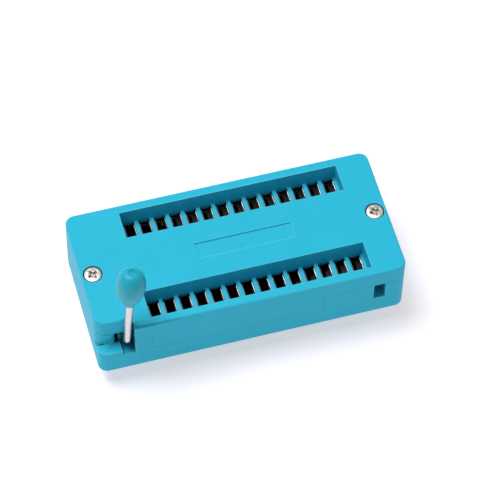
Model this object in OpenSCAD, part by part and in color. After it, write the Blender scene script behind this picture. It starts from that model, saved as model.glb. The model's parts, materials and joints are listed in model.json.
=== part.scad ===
// Zero insertion force socket for a two-row package, worked by a folding lever.
//
// Frame: the origin is the middle of the contact grid on the board's surface.
// +X runs along the rows, away from the lever, and +Z points up.
// The front row and the lever's upright are on the -Y side.
//
// The lever stands up in the open position. Its shaft lies across the body and
// carries two eccentric cams, which shift a ladder-shaped slide along X. In the
// open position the slide's ribs hold the contacts' arms apart.

/* [Contact grid] */
// Contacts in each row
pins_per_row = 14; // [8:1:14]
// Distance between neighbouring contacts of a row
pitch = 2.54; // [2.3:0.02:3]
// Distance between the middles of the two rows
row_spacing = 15.24; // [13:0.02:18]

/* [Cover] */
// Width of the pocket over each row
pocket_w = 4.76; // [4.4:0.02:5.4]
// Pocket beyond the middle of a row's last contact
pocket_end = 1.4; // [1.2:0.05:2]
// Depth of the pockets below the top face
pocket_depth = 3; // [2.6:0.1:3.4]
// Lean of each long pocket wall from top to bottom
pocket_draft = 0.12; // [0:0.02:0.2]
// Thickness of the pocket floors
pocket_floor_t = 0.9; // [0.7:0.05:1.2]
// Wall outside each pocket
outer_wall = 1.5; // [1.2:0.05:2.5]
// Wall on the inner side and at the ends of each pocket
pocket_wall = 1.2; // [0.8:0.1:1.6]
// Thickness of the top plate
top_t = 1.6; // [1.2:0.1:1.8]
// Body beyond the pockets at the plain end
plain_end = 5.5; // [5:0.1:9]
// Radius of the body's upright corners
corner_r = 1.5; // [0.8:0.1:2]
// Radius of the cover's corner behind the lever
set_back_r = 2; // [1:0.1:2.5]
// Radius of the rounding along the cover's top edge
edge_r = 0.3; // [0.1:0.05:0.5]
// Length of the label recess
label_l = 15.7; // [8:0.1:24]
// Width of the label recess
label_w = 2.8; // [1.5:0.1:5]
// Depth of the label recess
label_depth = 0.3; // [0.1:0.05:0.6]

/* [Base] */
// Height of the base's long walls over its underside
base_h = 3.9; // [3.4:0.1:5]
// Height of the raised ends over the long walls
end_rise = 3.4; // [3:0.05:3.8]
// Length of the raised walls at the plain end
raised_l = 13.5; // [9:0.1:18]
// Thickness of the end walls
end_wall = 1.7; // [1.4:0.1:2]
// Thickness of the side walls round the slide
side_wall = 1.3; // [1.1:0.05:1.45]
// Length of the tongue beside the lever's slot
tongue_l = 2.8; // [1.5:0.1:5]
// Thickness of the floor under the contacts
cell_floor_t = 0.8; // [0.6:0.1:1.1]
// Width of the window in the front wall
window_w = 1.85; // [1:0.05:2.4]
// Distance from the plain end to the window
window_in = 3.4; // [2.4:0.1:6]
// Height of the pads that hold the body off the board
pad_h = 0.4; // [0.2:0.1:1]
// Diameter of a pad
pad_d = 2.4; // [1.6:0.1:3]

/* [Lever] */
// Diameter of the lever's wire
rod_d = 1.3; // [1:0.05:1.5]
// Height of the shaft over the base's long walls
shaft_rise = 1.7; // [1.5:0.05:1.9]
// Bend radius of the wire at its middle
bend_r = 1.3; // [1:0.05:1.5]
// Lean of the raised lever past upright
lean = 3.5; // [0:0.5:4]
// Length of the lever from the shaft to the knob's top
lever_l = 19.5; // [17:0.1:28]
// Diameter of the knob
knob_d = 4.6; // [3.6:0.1:5.6]
// Length of the knob
knob_l = 8.2; // [7:0.1:9]
// Wire held inside the knob
knob_grip = 5.4; // [3:0.1:6]
// Throw of the cams from the shaft's axis
cam_throw = 0.42; // [0.36:0.01:0.46]
// Diameter of the cams
cam_d = 2.3; // [2.2:0.02:2.5]
// Length of each cam
cam_l = 2.8; // [2:0.1:3]

/* [Slide] */
// Thickness of the slide
slide_t = 2.4; // [2:0.05:3]
// Thickness of the ribs between the contacts' arms
rib_t = 0.5; // [0.4:0.02:0.56]
// Wall on each side of a cam's groove
hook_wall = 0.8; // [0.6:0.05:1]
// Height left free between the slide and the pocket floors
lead_room = 0.5; // [0.3:0.05:0.8]

/* [Contacts] */
// Thickness of the contact strip
strip_t = 0.25; // [0.2:0.01:0.3]
// Width of the contact's arms along the slot
arm_w = 3.4; // [2.8:0.1:3.8]
// Gap between the open arms at their tips
tip_gap = 1.3; // [1.24:0.01:1.44]
// Width of a solder tail
tail_w = 0.5; // [0.4:0.02:0.6]
// Reach of the tails below the board's surface
tail_l = 3.2; // [2:0.1:4]

/* [Screws] */
// Diameter of the screw heads
head_d = 2.8; // [2.4:0.1:3]
// Height of the screw heads
head_h = 0.9; // [0.7:0.05:1.1]
// Diameter of the screws' shanks
shank_d = 1.4; // [1.2:0.05:1.6]
// Length of a screw under its head
shank_l = 6.5; // [5:0.1:7.5]
// Distance from each end face to its screw
screw_in = 1.95; // [1.9:0.05:2.3]
// Diameter of the bosses round the screws
boss_d = 3.4; // [3:0.1:3.8]

/* [Clearances] */
// Radial gap round the lever's shaft
shaft_fit = 0.05; // [0.02:0.01:0.08]
// Gap on each side of a cam in its groove
cam_fit = 0.04; // [0.03:0.01:0.06]
// Gap round the slide
slide_fit = 0.1; // [0.05:0.01:0.15]
// Gap between a rib and the arm it holds
rib_fit = 0.03; // [0.02:0.01:0.05]
// Gap between the cover's and the base's upright faces
seam_fit = 0.03; // [0:0.01:0.05]
// Gap round a contact's foot and tail in the base
cell_fit = 0.12; // [0.05:0.01:0.14]
// Gap between a contact's tips and its slot
slot_fit = 0.03; // [0.01:0.01:0.05]
// Gap between the folded lever and the ledge below it
ledge_fit = 0.05; // [0.02:0.01:0.1]
// Gap between the lever's upright and the walls behind it
rod_gap = 0.18; // [0.1:0.01:0.3]
// Gap between the shaft and the side of the lever's slot
jamb_gap = 0.5; // [0.45:0.05:0.8]
// Gap between the shaft and the screw's boss
boss_gap = 0.4; // [0.3:0.05:0.8]
// Room left past each end of the slide's travel
end_room = 0.34; // [0.2:0.02:0.6]

/* [Hidden] */
$fn = 48;
eps = 0.01;

// Contacts across their slot
arm_outer = tip_gap / 2 + strip_t;
foot_in = 0.1;
foot_outer = arm_outer - foot_in;
foot_r = 0.5;
cell_w = 2 * (foot_outer + cell_fit);
cell_y = arm_w / 2 + cell_fit;
slot_w = 2 * (arm_outer + slot_fit);
tail_t = strip_t;
tail_point = 0.5;
tail_bend = 0.15;

// Cams and their travel
cam_in = 2.4;
cam_swing = 90 + lean;
cam_start = cam_swing / 2;
slide_rest = cam_throw * sin(cam_start);
slide_travel = 2 * slide_rest;
cam_groove = cam_d / 2 + cam_fit;

// Places along X, worked out from the grid towards the lever's end
grid_l = (pins_per_row - 1) * pitch;
pocket_l = grid_l + 2 * pocket_end;
slide_edge = 2.1;
x_slide = -grid_l / 2 - slide_edge;
x_jamb = x_slide - slide_travel - end_room - pocket_wall;
x_shaft = x_jamb - jamb_gap - rod_d / 2;
x_lever = x_shaft - rod_d / 2 - boss_gap - boss_d / 2 - screw_in;
x_plain = pocket_l / 2 + plain_end;
x_screws = [x_lever + screw_in, x_plain - screw_in];
x_tongue = x_jamb + tongue_l;
elbow_room = 0.15;
x_relief = x_shaft - bend_r - rod_d / 2 + elbow_room;
x_ledge = x_shaft - rod_d / 2 - 0.5 * jamb_gap;

// Places along Y
y_row = row_spacing / 2;
y_side = y_row + pocket_w / 2 + outer_wall;
y_bay = y_side - side_wall;
body_w = 2 * y_side;
rod_in = 1.1;
y_rod = rod_in - y_side;
wall_step = 0.12;
y_raised_back = y_rod + rod_d / 2 + rod_gap;
y_set_back = y_raised_back + wall_step;

// Heights
z_under = pad_h;
z_cell = z_under + cell_floor_t;
z_seam = z_under + base_h;
z_end = z_seam + end_rise;
z_shaft = z_seam + shaft_rise;
z_ledge = z_shaft - rod_d / 2 - ledge_fit;
z_slide = z_seam + slide_fit;
z_slide_top = z_slide + slide_t;
z_floor = z_slide_top + lead_room;
z_pocket = z_floor + pocket_floor_t;
z_top = z_pocket + pocket_depth;
z_ceiling = z_top - top_t;
tip_drop = 0.12;
z_tip = z_pocket - tip_drop;

// Tongue beside the lever's slot
tongue_drop = 0.3;
tongue_r = 0.45;

// Bearings of the shaft
bearing_l = 2.8;
bearing_in = -y_rod - bend_r - 0.3 - bearing_l;
bearing_w = rod_d + 2 * (jamb_gap - 2 * seam_fit);
bearing_split = 0.06;
shaft_end = bearing_in + bearing_l + 0.1;

// Slide
slide_y = y_bay - slide_fit;
rib_right = tip_gap / 2 - rib_fit;
window_y = arm_w / 2 + 0.2;
hook_rise = 0.9;
z_groove = z_shaft + cam_throw + cam_d / 2 + slide_fit;

// Knob
neck_r = 0.95;
knob_belly = 0.58;
crown_power = 0.62;
dimple_d = 1.3;
dimple_depth = 0.2;

// Screws
screw_hole = 0.2;
head_room = 0.15;
head_sink = 0.06;
thread_gap = 0.03;

// A box from one corner to the other
module block(x, y, z) {
    translate([x[0], y[0], z[0]]) cube([x[1] - x[0], y[1] - y[0], z[1] - z[0]]);
}

// A rectangle with round corners
module round_rect(x, y, r) {
    translate([x[0] + r, y[0]]) square([x[1] - x[0] - 2 * r, y[1] - y[0]]);
    translate([x[0], y[0] + r]) square([x[1] - x[0], y[1] - y[0] - 2 * r]);
    for (cx = [x[0] + r, x[1] - r], cy = [y[0] + r, y[1] - r])
        translate([cx, cy]) circle(r);
}

// What a round corner takes away from a square one, at the lower left
module corner_nick(r) {
    difference() {
        translate([-1, -1]) square([r + 1, r + 1]);
        translate([r, r]) circle(r);
    }
}

// Plan of the whole body
module body_plan() {
    round_rect([x_lever, x_plain], [-y_side, y_side], corner_r);
}

// Plan of the body with the corner in front of the lever's rod taken out
module stepped_plan(y_back) {
    difference() {
        body_plan();
        translate([x_lever - 1, -y_side - 1])
            square([x_jamb - x_lever + 1, y_back + y_side + 1]);
        translate([x_lever, y_back]) corner_nick(set_back_r);
    }
}

// Places a child at every contact of one row, side -1 in front and 1 behind
module along_row(side) {
    for (i = [0:pins_per_row - 1])
        translate([i * pitch - grid_l / 2, side * y_row, 0]) children();
}

/* ---- base ---- */

// Raised walls of the base, which the cover fits over; grow widens them for the cover's cut
module raised_walls(grow = 0) {
    inner = y_bay - grow;
    x_in = x_lever + end_wall + grow;
    linear_extrude(z_end - z_seam) {
        // lever's end, its front return and its rear return
        intersection() {
            stepped_plan(y_raised_back);
            union() {
                translate([x_lever, -y_side]) square([end_wall + grow, body_w]);
                translate([x_lever, -y_side])
                    square([x_relief - x_lever, y_side + y_raised_back + side_wall]);
                translate([x_lever, inner]) square([x_tongue + grow - x_lever, side_wall + grow]);
            }
        }
        // plain end with both of its returns
        intersection() {
            body_plan();
            difference() {
                translate([x_plain - raised_l - grow, -y_side])
                    square([raised_l + grow, body_w]);
                translate([x_plain - raised_l - 1, -inner])
                    square([raised_l + 1 - end_wall - grow, 2 * inner]);
            }
        }
    }
}

// Tongue that forms the jamb of the lever's slot
module tongue(grow = 0) {
    rotate([90, 0, 0])
        translate([0, 0, y_bay - grow])
            linear_extrude(side_wall + grow)
                difference() {
                    translate([x_jamb, -eps])
                        square([tongue_l + grow, z_end - tongue_drop - z_seam + grow + eps]);
                    if (grow == 0)
                        translate([x_jamb, z_end - tongue_drop - z_seam])
                            mirror([0, 1]) corner_nick(tongue_r);
                }
}

// Lower half of a shaft bearing
module bearing_block(side) {
    block([x_shaft - bearing_w / 2, x_shaft + bearing_w / 2],
          side > 0 ? [bearing_in, bearing_in + bearing_l] : [-bearing_in - bearing_l, -bearing_in],
          [z_seam - eps, z_shaft - bearing_split / 2]);
}

// Bore that the shaft turns in, with a relief round the elbow at its front end
module shaft_bore() {
    reach = bearing_in + bearing_l + 0.5;
    translate([x_shaft, 0, z_shaft])
        rotate([90, 0, 0]) cylinder(d = rod_d + 2 * shaft_fit, h = 2 * reach, center = true);
}

// Cell of one contact with the hole for its tail
module contact_cell() {
    block([-cell_w / 2, cell_w / 2], [-cell_y, cell_y], [z_cell, z_seam + 1]);
    block([-tail_w / 2 - cell_fit, tail_w / 2 + cell_fit],
          [-tail_t / 2 - cell_fit, tail_t / 2 + cell_fit], [0, z_cell + 1]);
}

// Hollows under the base between the two rows
module underside_cores() {
    core_count = 6;
    core_rib = 1;
    core_depth = 2.4;
    core_y = y_row - cell_y - 1.2;
    core_l = (grid_l - (core_count - 1) * core_rib) / core_count;
    for (i = [0:core_count - 1])
        translate([i * (core_l + core_rib) - grid_l / 2, 0, 0])
            block([0, core_l], [-core_y, core_y], [z_under - 1, z_under + core_depth]);
}

module base() color("#1fa8c9") {
    difference() {
        union() {
            translate([0, 0, z_under]) linear_extrude(base_h) body_plan();
            // ledge under the folded lever
            intersection() {
                translate([0, 0, z_under]) linear_extrude(z_ledge - z_under) body_plan();
                block([x_lever, x_ledge], [-y_side, y_raised_back + eps], [z_under, z_ledge]);
            }
            translate([0, 0, z_seam - eps]) raised_walls();
            translate([0, 0, z_seam]) tongue();
            for (side = [-1, 1]) bearing_block(side);
            for (x = x_screws)
                translate([x, 0, z_seam - eps]) cylinder(d = boss_d, h = z_end - z_seam + eps);
            for (x = [x_lever + pad_d, x_plain - pad_d], side = [-1, 1])
                translate([x, side * (y_side - pad_d), 0]) cylinder(d = pad_d, h = pad_h + eps);
        }
        for (side = [-1, 1]) along_row(side) contact_cell();
        underside_cores();
        shaft_bore();
        for (x = x_screws)
            translate([x, 0, z_end - shank_l]) cylinder(d = shank_d + 2 * thread_gap, h = shank_l + 1);
        // tool window, closed above by the cover
        block([x_plain - window_in - window_w, x_plain - window_in],
              [-y_side - 1, -y_bay + 1], [z_seam - 0.25, z_end + 1]);
    }
}

/* ---- cover ---- */

// Rounding along a straight top edge that runs along +X from the origin
module edge_nick(l) {
    rotate([90, 0, 90]) linear_extrude(l) edge_profile();
}

// What the rounding takes away, in the plane across the edge
module edge_profile() {
    difference() {
        translate([-1, -edge_r]) square([1 + edge_r, edge_r + 1]);
        translate([edge_r, -edge_r]) circle(edge_r, $fn = 24);
    }
}

// Rounding round an upright corner of radius r, whose middle is the origin
module corner_edge_nick(r, from) {
    rotate([0, 0, from])
        rotate_extrude(angle = 90)
            translate([r, 0]) mirror([1, 0]) edge_profile();
}

// Rounding of the cover's whole top edge
module top_edge_nicks() {
    translate([x_jamb, -y_side, z_top]) edge_nick(x_plain - corner_r - x_jamb);
    translate([x_plain, corner_r - y_side, z_top]) rotate([0, 0, 90]) edge_nick(body_w - 2 * corner_r);
    translate([x_plain - corner_r, y_side, z_top])
        rotate([0, 0, 180]) edge_nick(x_plain - x_lever - 2 * corner_r);
    translate([x_lever, y_side - corner_r, z_top])
        rotate([0, 0, 270]) edge_nick(y_side - corner_r - y_set_back - set_back_r);
    translate([x_lever + set_back_r, y_set_back, z_top]) edge_nick(x_jamb - x_lever - set_back_r);
    translate([x_plain - corner_r, corner_r - y_side, z_top]) corner_edge_nick(corner_r, 270);
    translate([x_plain - corner_r, y_side - corner_r, z_top]) corner_edge_nick(corner_r, 0);
    translate([x_lever + corner_r, y_side - corner_r, z_top]) corner_edge_nick(corner_r, 90);
    translate([x_lever + set_back_r, y_set_back + set_back_r, z_top]) corner_edge_nick(set_back_r, 180);
}

// One pocket with leaning long walls
module pocket() {
    half_top = pocket_w / 2;
    half_floor = half_top - pocket_draft;
    translate([-pocket_l / 2, 0, z_pocket])
        rotate([90, 0, 90])
            linear_extrude(pocket_l)
                polygon([[-half_floor, 0], [half_floor, 0], [half_top, pocket_depth],
                         [half_top, pocket_depth + 1], [-half_top, pocket_depth + 1],
                         [-half_top, pocket_depth]]);
}

// Slot over one contact
module lead_slot() {
    half = pocket_w / 2 - pocket_draft;
    block([-slot_w / 2, slot_w / 2], [-half, half], [z_floor - 1, z_pocket + eps]);
}

// Hollow of the cover: the slide's bay, the middle and both ends
module cover_hollow() {
    inner_y = y_row - pocket_w / 2 - pocket_wall;
    x_pocket = pocket_l / 2 + pocket_wall;
    hold_down = z_slide_top + slide_fit;
    // bay of the slide below the pocket floors
    block([x_jamb + pocket_wall, x_plain - end_wall], [-y_bay, y_bay], [z_seam - 1, hold_down]);
    for (side = [-1, 1])
        block([x_jamb + pocket_wall, x_plain - end_wall],
              side > 0 ? [y_row - pocket_w / 2, y_bay] : [-y_bay, pocket_w / 2 - y_row],
              [z_seam, z_floor]);
    // hollow between the pockets
    block([-x_pocket, x_pocket], [-inner_y, inner_y], [z_seam, z_ceiling]);
    // hollow over the cams
    block([x_lever + end_wall, -x_pocket], [-y_bay, y_bay], [z_seam - 1, z_ceiling]);
    // hollow at the plain end
    block([x_pocket, x_plain - end_wall], [-y_bay, y_bay], [z_seam, z_ceiling]);
}

// Walls that close the cover's hollow round the lever's corner
module lever_corner_walls() {
    wall = side_wall;
    intersection() {
        translate([0, 0, z_end]) linear_extrude(z_ceiling - z_end + eps) stepped_plan(y_set_back);
        block([x_lever, x_jamb + pocket_wall], [-y_side, y_set_back + wall], [z_end, z_top]);
    }
    intersection() {
        translate([0, 0, z_seam]) linear_extrude(z_ceiling - z_seam + eps) stepped_plan(y_set_back);
        block([x_jamb, x_jamb + pocket_wall], [-y_side, y_set_back + wall], [z_seam, z_top]);
    }
}

module cover() color("#3cccea") {
    screw_l = z_ceiling - z_end + eps;
    difference() {
        union() {
            difference() {
                translate([0, 0, z_seam]) linear_extrude(z_top - z_seam) stepped_plan(y_set_back);
                cover_hollow();
                // the lever's end starts above the base's raised walls
                block([x_lever - 1, x_jamb], [-y_side - 1, y_side + 1], [z_seam - 1, z_end]);
            }
            lever_corner_walls();
            for (side = [-1, 1])
                block([x_shaft - bearing_w / 2, x_shaft + bearing_w / 2],
                      side > 0 ? [bearing_in, bearing_in + bearing_l]
                               : [-bearing_in - bearing_l, -bearing_in],
                      [z_shaft + bearing_split / 2, z_ceiling + eps]);
            for (x = x_screws)
                translate([x, 0, z_end]) cylinder(d = boss_d, h = screw_l);
        }
        translate([0, 0, z_seam]) raised_walls(seam_fit);
        translate([0, 0, z_seam]) tongue(seam_fit);
        for (side = [-1, 1]) translate([0, side * y_row, 0]) pocket();
        for (side = [-1, 1]) along_row(side) lead_slot();
        shaft_bore();
        block([-label_l / 2, label_l / 2], [-label_w / 2, label_w / 2], [z_top - label_depth, z_top + 1]);
        for (x = x_screws) {
            translate([x, 0, z_end - 1]) cylinder(d = shank_d + 2 * screw_hole, h = z_top - z_end + 2);
            translate([x, 0, z_top - head_h - head_sink])
                cylinder(d = head_d + 2 * head_room, h = head_h + 1);
        }
        top_edge_nicks();
    }
}

/* ---- slide ---- */

// Hook that straddles one cam
module hook(side) {
    x_cam = x_shaft + slide_rest;
    y = side > 0 ? [cam_in, cam_in + cam_l] : [-cam_in - cam_l, -cam_in];
    x_left = x_cam - cam_groove - hook_wall;
    x_right = x_cam + cam_groove + hook_wall;
    difference() {
        union() {
            block([x_left, x_right], y, [z_slide, z_groove + hook_rise]);
            block([x_right - eps, x_slide + eps], y, [z_slide, z_slide_top]);
        }
        block([x_cam - cam_groove, x_cam + cam_groove], [y[0] - 1, y[1] + 1], [z_slide - 1, z_groove]);
    }
}

// Windows for the contacts' arms of one row, which leave the ribs between them
module slide_windows() {
    for (i = [0:pins_per_row]) {
        left = i == 0 ? -arm_outer - slide_fit - rib_fit : rib_right - pitch;
        right = i == pins_per_row ? rib_right - pitch + 2 * slide_fit + strip_t + slide_travel : rib_right - rib_t;
        translate([i * pitch - grid_l / 2, 0, 0])
            block([left, right], [-window_y, window_y], [z_slide - 1, z_slide_top + 1]);
    }
}

module slide() color("#202226") {
    mid_y = y_row - window_y - 1.4;
    mid_count = 5;
    mid_rib = 1.6;
    mid_l = (grid_l - (mid_count - 1) * mid_rib) / mid_count;
    difference() {
        block([x_slide, -x_slide], [-slide_y, slide_y], [z_slide, z_slide_top]);
        for (side = [-1, 1]) translate([0, side * y_row, 0]) slide_windows();
        // lightening windows between the rows
        for (i = [0:mid_count - 1])
            translate([i * (mid_l + mid_rib) - grid_l / 2, 0, 0])
                block([0, mid_l], [-mid_y, mid_y], [z_slide - 1, z_slide_top + 1]);
    }
    for (side = [-1, 1]) hook(side);
}

/* ---- lever ---- */

// Puts a child in the raised lever's frame: the shaft's axis along Y and the rod up Z
module on_lever() {
    translate([x_shaft, 0, z_shaft]) rotate([0, lean, 0]) children();
}

module lever_rod() color("silver") {
    rod_top = lever_l - knob_l + knob_grip;
    on_lever() {
        translate([0, y_rod, bend_r]) cylinder(d = rod_d, h = rod_top - bend_r);
        // elbow between the upright and the shaft
        translate([0, y_rod + bend_r, bend_r])
            rotate([0, -90, 0]) rotate([0, 0, 180])
                rotate_extrude(angle = 90) translate([bend_r, 0]) circle(d = rod_d);
        translate([0, shaft_end, 0])
            rotate([90, 0, 0]) cylinder(d = rod_d, h = shaft_end - y_rod - bend_r);
    }
    // cams, thrown to the side and up so that the slide is held at its far end
    for (side = [-1, 1])
        translate([x_shaft + cam_throw * sin(cam_start), side * (cam_in + cam_l / 2),
                   z_shaft + cam_throw * cos(cam_start)])
            rotate([90, 0, 0]) cylinder(d = cam_d, h = cam_l - 2 * slide_fit, center = true);
}

// Outline of the knob: a curved taper up from the neck, then a full crown
function knob_outline() = concat(
    [for (a = [0:9:81]) [neck_r + (knob_d / 2 - neck_r) * sin(a), a / 90 * knob_belly * knob_l]],
    [for (a = [0:9:81]) [knob_d / 2 * pow(cos(a), crown_power), knob_l * (knob_belly + (1 - knob_belly) * sin(a))]],
    [[0, knob_l], [0, 0]]
);

module lever_knob() color("#56a9b4") {
    on_lever()
        translate([0, y_rod, lever_l - knob_l])
            difference() {
                rotate_extrude() polygon(knob_outline());
                translate([0, 0, -1]) cylinder(d = rod_d, h = knob_grip + 1);
                translate([0, 0, knob_l - dimple_depth]) cylinder(d = dimple_d, h = 1);
            }
}

/* ---- screws ---- */

module cross_recess() {
    wing = 0.72 * head_d / 2;
    for (a = [0, 90])
        rotate([90, 0, a])
            linear_extrude(0.36, center = true)
                polygon([[-wing, 0.1], [wing, 0.1], [wing * 0.45, -head_h * 0.65], [-wing * 0.45, -head_h * 0.65]]);
}

module screw(x) color("#e4e6e8") {
    dome = 0.15;
    translate([x, 0, z_top - head_sink])
        difference() {
            union() {
                rotate_extrude()
                    polygon([[0, -head_h], [head_d / 2, -head_h], [head_d / 2, -dome],
                             [head_d / 2 - dome, -dome * 0.3], [head_d * 0.25, 0], [0, 0]]);
                translate([0, 0, -head_h - shank_l]) cylinder(d = shank_d, h = shank_l + eps);
            }
            cross_recess();
        }
}

/* ---- contacts ---- */

// Right half of the contact's profile, from the foot's outside round to its inside
function arm_outline() = concat(
    [for (a = [-90:15:0]) [foot_outer - foot_r + foot_r * cos(a), z_cell + foot_r + foot_r * sin(a)]],
    [[foot_outer, z_seam - 0.7], [arm_outer, z_seam], [arm_outer, z_tip], [arm_outer - strip_t * 0.4, z_tip],
     [arm_outer - strip_t, z_tip - strip_t], [arm_outer - strip_t, z_seam],
     [foot_outer - strip_t, z_seam - 0.7]],
    [for (a = [0:-15:-90]) [foot_outer - foot_r + (foot_r - strip_t) * cos(a),
                            z_cell + foot_r + (foot_r - strip_t) * sin(a)]]
);

// Side outline of a tail, from the foot round its bend and down to its tip
function tail_outline() =
    let (y = tail_t / 2 + tail_bend, z = z_cell - tail_bend, r = tail_t + tail_bend)
    concat(
        [[y + 0.1, z_cell], [y + 0.1, z_cell + tail_t]],
        [for (a = [90:15:180]) [y + r * cos(a), z + r * sin(a)]],
        [[-tail_t / 2, -tail_l], [tail_t / 2, -tail_l]],
        [for (a = [180:-15:90]) [y + tail_bend * cos(a), z + tail_bend * sin(a)]]
    );

// Tail, lanced out of the foot and bent down through the floor
module contact_tail() {
    intersection() {
        translate([-tail_w / 2, 0, 0]) rotate([90, 0, 90]) linear_extrude(tail_w) polygon(tail_outline());
        translate([0, 0, -tail_l])
            rotate([90, 0, 0])
                linear_extrude(4, center = true)
                    polygon([[-tail_w / 5, 0], [tail_w / 5, 0], [tail_w, 2 * tail_point],
                             [tail_w, tail_l + z_seam], [-tail_w, tail_l + z_seam], [-tail_w, 2 * tail_point]]);
    }
}

module contact(i, side) color("#d8dde0") {
    half = arm_outline();
    mirrored = [for (k = [len(half) - 1:-1:0]) [-half[k][0], half[k][1]]];
    relief_w = arm_w * 0.4;
    lance_l = 1.1;
    lance_gap = 0.06;
    translate([(i - 1) * pitch - grid_l / 2, side * y_row, 0]) {
        difference() {
            rotate([90, 0, 0]) linear_extrude(arm_w, center = true) polygon(concat(half, mirrored));
            // relief holes that soften the arms
            block([-cell_w, cell_w], [-relief_w / 2, relief_w / 2], [z_cell + foot_r + 0.5, z_seam - 0.9]);
            // opening that the tail was lanced from
            block([-tail_w / 2 - lance_gap, tail_w / 2 + lance_gap], [-lance_l, tail_t / 2 + tail_bend],
                  [z_cell - 1, z_cell + foot_r]);
        }
        contact_tail();
    }
}

base();
cover();
slide();
lever_rod();
lever_knob();
screw(x_screws[0]);  // screw_lever_end
screw(x_screws[1]);  // screw_plain_end
for (i = [1:pins_per_row]) {
    contact(i, -1);
    contact(i, 1);
}
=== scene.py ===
# %% [markdown]
# # A test socket with a lever
#
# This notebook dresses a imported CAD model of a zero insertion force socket. The
# part is a moulded housing in two halves, with two rows of sprung contacts, a
# black slide between them and a wire lever with a soft knob. The CAD gives every
# place and size. What is added here is what a moulding tool, a wire drawer and a
# press give the real surfaces: small edge radii, grain, plating and tints.

import json
import math

import bmesh
import bpy
from mathutils import Euler, Matrix, Vector


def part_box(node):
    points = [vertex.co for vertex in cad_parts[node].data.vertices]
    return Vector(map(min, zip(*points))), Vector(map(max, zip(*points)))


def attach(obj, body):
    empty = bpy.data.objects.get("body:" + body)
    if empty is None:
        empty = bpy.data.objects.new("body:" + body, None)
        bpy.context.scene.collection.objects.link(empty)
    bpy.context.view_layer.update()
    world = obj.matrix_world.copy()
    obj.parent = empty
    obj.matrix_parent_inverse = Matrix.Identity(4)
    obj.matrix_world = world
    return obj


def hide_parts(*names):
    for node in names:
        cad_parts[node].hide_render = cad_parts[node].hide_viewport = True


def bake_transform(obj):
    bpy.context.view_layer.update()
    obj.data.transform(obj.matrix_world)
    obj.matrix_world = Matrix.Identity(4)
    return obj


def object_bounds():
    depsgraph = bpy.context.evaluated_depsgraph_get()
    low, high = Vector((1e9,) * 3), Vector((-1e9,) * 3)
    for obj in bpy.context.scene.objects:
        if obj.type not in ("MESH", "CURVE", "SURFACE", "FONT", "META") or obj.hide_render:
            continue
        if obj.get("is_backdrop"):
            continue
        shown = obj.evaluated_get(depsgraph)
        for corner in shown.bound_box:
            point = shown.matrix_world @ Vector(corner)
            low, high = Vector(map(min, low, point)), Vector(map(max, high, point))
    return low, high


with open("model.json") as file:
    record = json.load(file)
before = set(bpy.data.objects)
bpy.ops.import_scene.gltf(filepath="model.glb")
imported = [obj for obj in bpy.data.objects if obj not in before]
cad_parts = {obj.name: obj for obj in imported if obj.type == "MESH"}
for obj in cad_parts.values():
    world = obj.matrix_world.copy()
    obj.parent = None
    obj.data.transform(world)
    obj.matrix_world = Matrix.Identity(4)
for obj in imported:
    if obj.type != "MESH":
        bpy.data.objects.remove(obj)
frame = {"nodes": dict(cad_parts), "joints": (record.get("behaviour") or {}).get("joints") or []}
bpy.context.view_layer.update()
cad_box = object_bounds()
scene = bpy.context.scene
scene.view_settings.view_transform = "Standard"
MM = 0.001
print("CAD box in mm:", [[round(c / MM, 2) for c in corner] for corner in cad_box])

# %% [markdown]
# ## Measures taken from the frame
#
# Places are read from the CAD nodes' boxes and from the record, so they stay right
# when the socket changes. The hinge says where the shaft is, and its range says how
# far the lever leans past upright. The spacing of the contacts is the step between
# two of them.

# %% Measures of the lever and the contacts
def middle(node):
    """Centre of a CAD node's box."""
    low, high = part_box(node)
    return (low + high) / 2


hinge = next(j for j in frame["joints"] if j["name"] == "lever_hinge")
shaft = Vector(hinge["pos_m"])
lean = math.radians(hinge["range_deg"][1] - 90)
first_contact = middle("contact_front_1")
pitch = middle("contact_front_2").x - first_contact.x
row_spacing = middle("contact_rear_1").y - first_contact.y
positions = sum(name.startswith("contact_front_") for name in frame["nodes"])
housing_low, housing_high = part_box("base")
print(f"{positions} contacts a row, {pitch / MM:.2f} mm apart")
print(f"the upright lever leans {math.degrees(lean):.1f} degrees past vertical")

# %% [markdown]
# ## Helpers
#
# Colours are written as sRGB hex values, as a paint chart gives them. Blender
# works with linear light, so one function turns them. A second one adds a node
# to any tree, with its settings and its links, and keeps the trees short to read.

# %% Colour and node helpers
def linear(code):
    """An sRGB hex colour as Blender's four linear numbers."""
    parts = [int(code[i : i + 2], 16) / 255 for i in (1, 3, 5)]
    light = [c / 12.92 if c <= 0.04045 else ((c + 0.055) / 1.055) ** 2.4 for c in parts]
    return (*light, 1.0)


def add(tree, kind, settings=None, links=None):
    """Adds a node. A setting is a property, or an input by its name or number."""
    node = tree.nodes.new(kind)
    for key, value in (settings or {}).items():
        if isinstance(key, int) or key in node.inputs:
            node.inputs[key].default_value = value
        else:
            setattr(node, key, value)
    for key, source in (links or {}).items():
        tree.links.new(source, node.inputs[key])
    return node


def new_material(name, settings):
    """A material with one Principled shader, and the coordinates of its object in mm."""
    material = bpy.data.materials.new(name)
    material.use_nodes = True
    tree = material.node_tree
    tree.nodes.clear()
    shader = add(tree, "ShaderNodeBsdfPrincipled", settings)
    add(tree, "ShaderNodeOutputMaterial", links={"Surface": shader.outputs["BSDF"]})
    place = add(tree, "ShaderNodeTexCoord")
    in_mm = add(tree, "ShaderNodeMapping", {"Scale": (1 / MM,) * 3}, {"Vector": place.outputs["Object"]})
    return material, tree, shader, in_mm.outputs["Vector"]


print("a mid grey of #808080 is", round(linear("#808080")[0], 3), "in linear light")

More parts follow.
